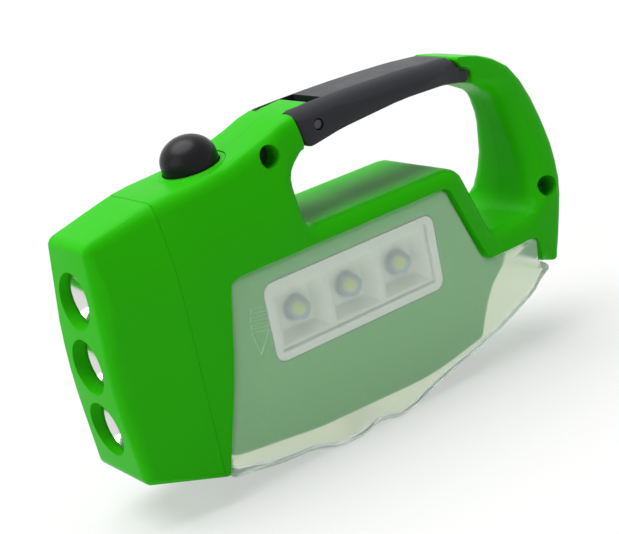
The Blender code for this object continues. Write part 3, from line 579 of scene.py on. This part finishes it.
def arch_form(node, settings):
    """A shell whose arch is grown outwards and has its inner edge well rounded."""
    bm = merged(node)
    side = -1 if node == "left_shell" else 1
    bm = combined(bm, arch_cutter(arch_path(bm), side, settings.arch_edge), "DIFFERENCE")
    for vertex in bm.verts:
        distance, angle, inner = from_loop_middle(vertex.co)
        growth = settings.arch_growth * eased_span(angle, GROWN_IN, GROWN_OUT)
        growth *= ease(distance, inner + GROWN_FROM, inner + GROWN_FULL)
        out = vertex.co - LOOP_MIDDLE
        out.y = 0
        vertex.co += out.normalized() * growth
    return bm


def gate_crown(edge):
    """A block over the gate with its two long upper edges rounded, which the gate is trimmed to."""
    crown = bmesh.new()
    bmesh.ops.create_grid(crown, x_segments=12, y_segments=1, size=0.5)
    for vertex in crown.verts:
        share = vertex.co.x + 0.5
        x = (CROWN_START + CROWN_LENGTH * share) * MM
        eased = CROWN_EASE * min(share / EASE_SHARE, 1)
        tapered = CROWN_TAPER * max(share - (1 - TAPER_SHARE), 0) / TAPER_SHARE
        half = (CROWN_HALF - eased - tapered) * MM
        top = CROWN_TOP - CROWN_CURVE * (x - CROWN_PEAK) ** 2
        vertex.co = (x, math.copysign(half, vertex.co.y), top)
    low = set(thickened(crown, (0, 0, -CROWN_DEPTH)))
    upper = [
        line for line in crown.edges if line.is_manifold and not low.intersection(line.verts)]
    sides = [
        line for line in upper if line.calc_face_angle() > 1
        and abs((line.verts[0].co - line.verts[1].co).normalized().x) > 0.5]
    bmesh.ops.bevel(crown, geom=sides, offset=edge, segments=7, profile=0.5,
                    affect="EDGES", material=-1)
    return crown


def arrow_form(settings):
    """The raised outlines of an arrow that points down: three bars and a head."""
    bm = bmesh.new()
    half = settings.arrow_width / 2
    for bar in (1, 2, 3):
        low = bar * settings.bar_pitch - settings.bar_height
        high = low + settings.bar_height
        bm.faces.new([bm.verts.new((x, 0, z)) for x, z in (
            (-half, low), (half, low), (half, high), (-half, high))])
    bm.faces.new([bm.verts.new((x, 0, z)) for x, z in (
        (-half, 0), (0, -settings.head_height), (half, 0))])
    rims = bmesh.ops.inset_individual(
        bm, faces=bm.faces[:], thickness=settings.line, use_even_offset=True)["faces"]
    bmesh.ops.delete(bm, geom=[face for face in bm.faces if face not in rims], context="FACES")
    thickened(bm, (0, -settings.line / 2, 0))
    place = Matrix.Translation(ARROW_PLACE) @ Matrix.Rotation(ARROW_TURN, 4, "Y")
    bmesh.ops.transform(bm, matrix=place, verts=bm.verts)
    return bm


def turned(profile, closed):
    """A bmesh turned about the push button's axis from a profile of (radius, height)."""
    bm = bmesh.new()
    points = [bm.verts.new((out, 0, up)) for out, up in profile]
    nexts = points[1:] + points[:1] if closed else points[1:]
    lines = [bm.edges.new(pair) for pair in zip(points, nexts)]
    bmesh.ops.spin(bm, geom=points + lines, axis=(0, 0, 1), cent=(0, 0, 0),
                   angle=2 * math.pi, steps=TURN_STEPS, use_merge=True)
    bmesh.ops.remove_doubles(bm, verts=bm.verts, dist=MERGE_DISTANCE)
    bmesh.ops.recalc_face_normals(bm, faces=bm.faces)
    turn = Vector((0, 0, 1)).rotation_difference(BUTTON_AXIS).to_matrix().to_4x4()
    bmesh.ops.transform(bm, matrix=Matrix.Translation(BUTTON_PLACE) @ turn, verts=bm.verts)
    return bm


def dome_profile(settings):
    """The dome from its top to its rim, then its flange and its stem."""
    radius = settings.diameter / 2
    cap = settings.rise - settings.side
    profile = [(0, settings.rise)]
    for step in range(1, DOME_STEPS + 1):
        angle = math.pi / 2 * step / DOME_STEPS
        profile.append((radius * math.sin(angle), settings.side + cap * math.cos(angle)))
    flange = radius + FLANGE_REACH
    return profile + [
        (radius, FLANGE_TOP), (flange, FLANGE_TOP), (flange, FLANGE_FOOT),
        (STEM_RADIUS, FLANGE_FOOT), (STEM_RADIUS, STEM_FOOT), (0, STEM_FOOT)]


def seat_profile(settings):
    """The section of the ring round the dome, which falls away at its outer edge."""
    radius = settings.diameter / 2
    inner, outer = radius + settings.seat_gap, radius + settings.seat_width
    return [(inner, SEAT_FOOT), (inner, 0), (outer - SEAT_SLOPE, 0), (outer, -SEAT_FALL),
            (outer, SEAT_FOOT)]


def narrowing(piece, width):
    """The matrix that scales a piece about its middle to some width, across X."""
    points = [vertex.co for vertex in piece.data.vertices]
    low, high = (Vector([pick(point[axis] for point in points) for axis in range(3)])
                 for pick in (min, max))
    about = Matrix.Translation((low + high) / 2)
    scale = Matrix.Diagonal((1, width / (high.y - low.y), width / (high.z - low.z), 1))
    return about @ scale @ about.inverted()


class TORCH_OT_shells(bpy.types.Operator):
    """Finishes the two halves of the body with the carry loop's arch"""

    bl_idname = "torch.shells"
    bl_label = "Body shells"

    def execute(self, context):
        body = context.scene.torch_body
        material = green_abs(body)
        for node in ("left_shell", "right_shell"):
            finished_copy(node, material, form=arch_form(node, body))
        joint_rib("shell_joint_rib", "left_shell", (0, 1, 0), 0.12 * MM, material,
                  form=arch_form("left_shell", body))
        return {"FINISHED"}


class TORCH_OT_bezel(bpy.types.Operator):
    """Finishes the front housing with its three windows"""

    bl_idname = "torch.bezel"
    bl_label = "Front bezel"

    def execute(self, context):
        material = bpy.data.materials["Green moulded ABS"]
        finished_copy("bezel", material, context.scene.torch_body.fine_edge)
        joint_rib("bezel_joint_rib", "bezel", (1, 0, 0), 0.15 * MM, material)
        return {"FINISHED"}


class TORCH_OT_cover(bpy.types.Operator):
    """Finishes the frosted battery cover"""

    bl_idname = "torch.cover"
    bl_label = "Battery cover"

    def execute(self, context):
        settings = context.scene.torch_cover
        material = frosted_cover(settings, "Frosted polycarbonate", settings.clearness)
        finished_copy("cover", material)
        ridges = frosted_cover(settings, "Frosted polycarbonate ridges", 0)
        arrow = smooth_piece("cover_arrow", arrow_form(settings), ridges)
        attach(arrow, "battery_cover")
        return {"FINISHED"}


class TORCH_OT_button(bpy.types.Operator):
    """Finishes the domed push button and the seat round it"""

    bl_idname = "torch.button"
    bl_label = "Push button"

    def execute(self, context):
        settings = context.scene.torch_button
        dome = turned(dome_profile(settings), closed=False)
        piece = smooth_piece("button_finished", dome, black_rubber(context.scene.torch_body))
        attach(piece, "push_button")
        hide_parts("button")
        ring = turned(seat_profile(settings), closed=True)
        seat = smooth_piece("button_seat", ring, bpy.data.materials["Green moulded ABS"])
        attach(seat, "body")
        return {"FINISHED"}


class TORCH_OT_gate(bpy.types.Operator):
    """Finishes the carry loop's gate with its pin and its spring"""

    bl_idname = "torch.gate"
    bl_label = "Gate"

    def execute(self, context):
        settings = context.scene.torch_body
        form = combined(merged("gate"), gate_crown(settings.gate_edge), "INTERSECT")
        finished_copy("gate", black_nylon(settings), form=form)
        bright = metal("Bright steel", "B9BABB", roughness=0.25, patch=0.8 * MM)
        finished_copy("gate_spring", bright)
        # Steel darkened to paint the shade of the recesses at the pin's ends and in the screw
        # bores.
        recess_shade_steel = metal("Steel darkened for recess shade", "4A4A4C", roughness=0.4, patch=0.8 * MM)
        finished_copy("gate_pin", recess_shade_steel)
        return {"FINISHED"}


class TORCH_OT_front_lights(bpy.types.Operator):
    """Finishes the front reflectors, lamps and board"""

    bl_idname = "torch.front_lights"
    bl_label = "Front lights"

    def execute(self, context):
        settings = context.scene.torch_lamps
        mirror = metal("Metallised reflector", "DCDCDA", roughness=0.16, patch=1.5 * MM)
        epoxy = epoxy_lamp(settings)
        forward = Matrix.Translation((-settings.forward, 0, 0))
        for number in NUMBERS:
            bowl = finished_copy("front_reflector_" + number, mirror)
            lamp = finished_copy("front_led_" + number, epoxy)
            bowl.data.transform(forward @ narrowing(bowl, settings.bowl_width))
            lamp.data.transform(forward)
        finished_copy("front_board", circuit_board())
        return {"FINISHED"}


class TORCH_OT_side_light(bpy.types.Operator):
    """Finishes the side light's frame, tray, lamps and board"""

    bl_idname = "torch.side_light"
    bl_label = "Side light"

    def execute(self, context):
        settings = context.scene.torch_lamps
        rim = white_abs("Off-white moulded ABS", settings.frame)
        tray = white_abs("Grey-white moulded ABS", settings.tray)
        finished_copy("lamp_frame", rim)
        finished_copy("lamp_reflector", tray)
        for number in NUMBERS:
            finished_copy("lamp_led_" + number, bpy.data.materials["Lamp epoxy"])
        finished_copy("lamp_board", bpy.data.materials["Fibreglass board"])
        return {"FINISHED"}


class TORCH_OT_cells(bpy.types.Operator):
    """Finishes the three cells, their springs and their contact plates"""

    bl_idname = "torch.cells"
    bl_label = "Cells and contacts"

    def execute(self, context):
        sleeve = cell_sleeve()
        for number in NUMBERS:
            finished_copy("battery_" + number, sleeve)
            finished_copy("battery_spring_" + number, bpy.data.materials["Bright steel"])
        nickel = metal("Nickel-plated strip", "C4C0B4", roughness=0.3, patch=1.0 * MM)
        for end in ("front", "rear"):
            for level in ("upper", "lower"):
                finished_copy(f"contact_{end}_{level}", nickel)
        return {"FINISHED"}


class TORCH_OT_switch(bpy.types.Operator):
    """Finishes the push switch under the button"""

    bl_idname = "torch.switch"
    bl_label = "Switch"

    def execute(self, context):
        for node in ("switch_body", "switch_plunger"):
            finished_copy(node, bpy.data.materials["Black moulded nylon"])
        finished_copy("switch_board", bpy.data.materials["Fibreglass board"])
        return {"FINISHED"}


class TORCH_OT_screws(bpy.types.Operator):
    """Finishes the two screws that hold the shells together"""

    bl_idname = "torch.screws"
    bl_label = "Screws"

    def execute(self, context):
        for node in ("shell_screw_1", "shell_screw_2"):
            # The screws take the steel darkened to paint the shade at the bottom of their bores.
            finished_copy(node, bpy.data.materials["Steel darkened for recess shade"])
        return {"FINISHED"}


def seen_ray(tree):
    """1 for rays that the eye sees by, straight, mirrored or through a clear piece."""
    path = add_node(tree, "ShaderNodeLightPath")
    seen = path.outputs["Is Camera Ray"]
    for kind in ("Is Glossy Ray", "Is Transmission Ray"):
        seen = add_node(tree, "ShaderNodeMath", {0: seen, 1: path.outputs[kind]},
                        operation="MAXIMUM").outputs["Value"]
    return seen


def studio_paper(settings):
    """Matt white paper that takes a soft shadow, lightened where the eye sees it."""
    material, tree, output, _ = new_material("White studio paper")
    matt = add_node(tree, "ShaderNodeBsdfDiffuse", {"Color": (*settings.floor, 1)})
    white = add_node(tree, "ShaderNodeEmission", {"Color": (1, 1, 1, 1), "Strength": 1.0})
    path = add_node(tree, "ShaderNodeLightPath")
    through = add_node(tree, "ShaderNodeMath", {
        0: path.outputs["Is Transmission Ray"], 1: settings.paper_through},
        operation="MULTIPLY")
    seen = add_node(tree, "ShaderNodeMath", {
        0: seen_ray(tree), 1: settings.paper_white}, operation="MULTIPLY")
    share = add_node(tree, "ShaderNodeMath", {
        0: seen.outputs["Value"], 1: through.outputs["Value"]}, operation="MAXIMUM")
    mix = add_node(tree, "ShaderNodeMixShader", {
        "Fac": share.outputs["Value"], 1: matt.outputs["BSDF"], 2: white.outputs["Emission"]})
    tree.links.new(mix.outputs["Shader"], output.inputs["Surface"])
    return material


def studio_world(settings):
    """White where the eye sees it, and a faint light from all round on the pieces."""
    world = bpy.data.worlds.new("studio")
    world.use_nodes = True
    tree = world.node_tree
    tree.nodes.clear()
    strength = add_node(tree, "ShaderNodeMapRange", {
        "Value": seen_ray(tree), "To Min": settings.ambient, "To Max": 1.0})
    sky = add_node(tree, "ShaderNodeBackground", {
        "Color": (1, 1, 1, 1), "Strength": strength.outputs["Result"]})
    output = add_node(tree, "ShaderNodeOutputWorld")
    tree.links.new(sky.outputs["Background"], output.inputs["Surface"])
    return world


def broad_light(name, towards, width, strength):
    """A distant soft box of some angular width, in the direction given."""
    light = bpy.data.lights.new(name, "SUN")
    light.angle = width
    light.energy = strength
    lamp = bpy.data.objects.new(name, light)
    lamp.rotation_mode = "QUATERNION"
    lamp.rotation_quaternion = Vector(towards).to_track_quat("Z", "Y")
    bpy.context.scene.collection.objects.link(lamp)


def solved_camera():
    """The photograph's camera."""
    camera = bpy.data.cameras.new("camera")
    camera.lens = CAMERA_LENS
    camera.sensor_width = CAMERA_SENSOR
    camera.clip_start = CAMERA_NEAR
    camera.clip_end = CAMERA_FAR
    viewer = bpy.data.objects.new("camera", camera)
    up = CAMERA_BACK.cross(CAMERA_RIGHT)
    turn = Matrix((CAMERA_RIGHT, up, CAMERA_BACK)).transposed().to_4x4()
    viewer.matrix_world = Matrix.Translation(CAMERA_PLACE) @ turn
    bpy.context.scene.collection.objects.link(viewer)
    return viewer


class TORCH_OT_stage(bpy.types.Operator):
    """Sets the floor, the studio light and the camera"""

    bl_idname = "torch.stage"
    bl_label = "Stage"

    def execute(self, context):
        scene = context.scene
        settings = scene.torch_stage
        mesh = bpy.data.meshes.new("floor")
        bm = bmesh.new()
        bmesh.ops.create_grid(bm, x_segments=1, y_segments=1, size=FLOOR_SIZE)
        bm.to_mesh(mesh)
        bm.free()
        mesh.materials.append(studio_paper(settings))
        floor = bpy.data.objects.new("floor", mesh)
        scene.collection.objects.link(floor)
        scene.world = studio_world(settings)
        broad_light("key", KEY_TOWARDS, KEY_WIDTH, settings.key)
        broad_light("fill", FILL_TOWARDS, FILL_WIDTH, settings.fill)
        scene.camera = solved_camera()
        scene.view_settings.view_transform = "Standard"
        return {"FINISHED"}


SETTING_GROUPS = {
    "torch_body": TorchBodySettings,
    "torch_button": TorchButtonSettings,
    "torch_cover": TorchCoverSettings,
    "torch_lamps": TorchLampSettings,
    "torch_stage": TorchStageSettings,
}

OPERATORS = (
    TORCH_OT_shells,
    TORCH_OT_bezel,
    TORCH_OT_cover,
    TORCH_OT_button,
    TORCH_OT_gate,
    TORCH_OT_front_lights,
    TORCH_OT_side_light,
    TORCH_OT_cells,
    TORCH_OT_switch,
    TORCH_OT_screws,
    TORCH_OT_stage,
)


class TORCH_PT_panel(bpy.types.Panel):
    """Lists the torch's settings and its pieces"""

    bl_idname = "TORCH_PT_panel"
    bl_label = "Pocket torch"
    bl_space_type = "VIEW_3D"
    bl_region_type = "UI"
    bl_category = "Torch"

    def draw(self, context):
        for group in SETTING_GROUPS:
            settings = getattr(context.scene, group)
            column = self.layout.column(align=True)
            for name in settings.bl_rna.properties.keys():
                if name not in ("rna_type", "name"):
                    column.prop(settings, name)
        column = self.layout.column(align=True)
        for operator in OPERATORS:
            column.operator(operator.bl_idname)


def register():
    for name, group in SETTING_GROUPS.items():
        bpy.utils.register_class(group)
        setattr(bpy.types.Scene, name, bpy.props.PointerProperty(type=group))
    for operator in OPERATORS:
        bpy.utils.register_class(operator)
    bpy.utils.register_class(TORCH_PT_panel)


def unregister():
    bpy.utils.unregister_class(TORCH_PT_panel)
    for operator in reversed(OPERATORS):
        bpy.utils.unregister_class(operator)
    for name, group in SETTING_GROUPS.items():
        delattr(bpy.types.Scene, name)
        bpy.utils.unregister_class(group)


def main():
    """Builds every piece and the stage."""
    register()
    bpy.ops.torch.shells()
    bpy.ops.torch.bezel()
    bpy.ops.torch.cover()
    bpy.ops.torch.button()
    bpy.ops.torch.gate()
    bpy.ops.torch.front_lights()
    bpy.ops.torch.side_light()
    bpy.ops.torch.cells()
    bpy.ops.torch.switch()
    bpy.ops.torch.screws()
    bpy.ops.torch.stage()


if __name__ == "__main__":
    main()
